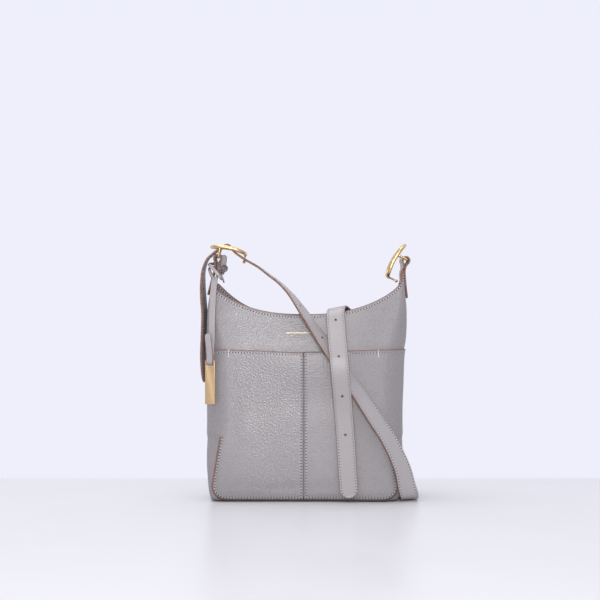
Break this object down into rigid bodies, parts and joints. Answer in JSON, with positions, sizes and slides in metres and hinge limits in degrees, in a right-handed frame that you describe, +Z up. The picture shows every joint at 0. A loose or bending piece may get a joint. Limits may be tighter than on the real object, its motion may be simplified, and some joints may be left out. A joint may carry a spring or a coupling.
{
  "type": "hobo bag",
  "caption": "Small grained-leather hobo bag with a scooped top, front slip pocket, brass strap buckles, an adjustable strap and a hanging tag.",
  "frame": {"origin": "middle of the flat base, on the surface the bag stands on", "axes": "+Z up, the front with the slip pocket faces -Y, +X to the viewer's right"},
  "size_m": [0.29, 0.1319, 0.3376],
  "materials": {
    "leather": "pebbled grain, semi-matte",
    "lining": "woven cotton",
    "brass": "polished antique gold",
    "tag_brass": "satin pale gold",
    "snap_metal": "plated",
    "board": "pressed board"
  },
  "bodies": {
    "root": {"front_panel": "leather", "back_panel": "leather", "pocket_left": "leather", "pocket_right": "leather", "base_panel": "leather", "base_board": "board", "lining": "lining", "front_facing": "leather", "back_facing": "leather", "left_tab": "leather", "right_tab": "leather", "tag_loop": "leather", "strap_run": "leather", "snap_front": "snap_metal", "snap_back": "snap_metal"},
    "right_buckle": {"right_buckle_frame": "brass", "right_buckle_bail": "brass", "right_buckle_stud": "brass"},
    "left_buckle": {"left_buckle_frame": "brass", "left_buckle_bail": "brass", "left_buckle_stud": "brass", "strap_tail": "leather"},
    "tag_hanger": {"tag_strap": "leather"},
    "tag": {"tag_bar": "tag_brass"}
  },
  "joints": [
    {"name": "right_buckle_swing", "type": "hinge", "parent": "root", "child": "right_buckle", "pos_m": [0.134, 0, 0.316], "axis": [0, 1, 0], "range_deg": [0, 170]},
    {"name": "left_buckle_swing", "type": "hinge", "parent": "root", "child": "left_buckle", "pos_m": [-0.1145, 0, 0.3193], "axis": [0, 1, 0], "range_deg": [0, 12]},
    {"name": "tag_hanger_swing", "type": "hinge", "parent": "root", "child": "tag_hanger", "pos_m": [-0.1185, -0.0178, 0.2945], "axis": [-0.9781, 0.2079, 0], "range_deg": [0, 60]},
    {"name": "tag_swing", "type": "hinge", "parent": "tag_hanger", "child": "tag", "pos_m": [-0.1236, -0.0385, 0.183], "axis": [-0.9781, 0.2079, 0], "range_deg": [0, 110]}
  ]
}
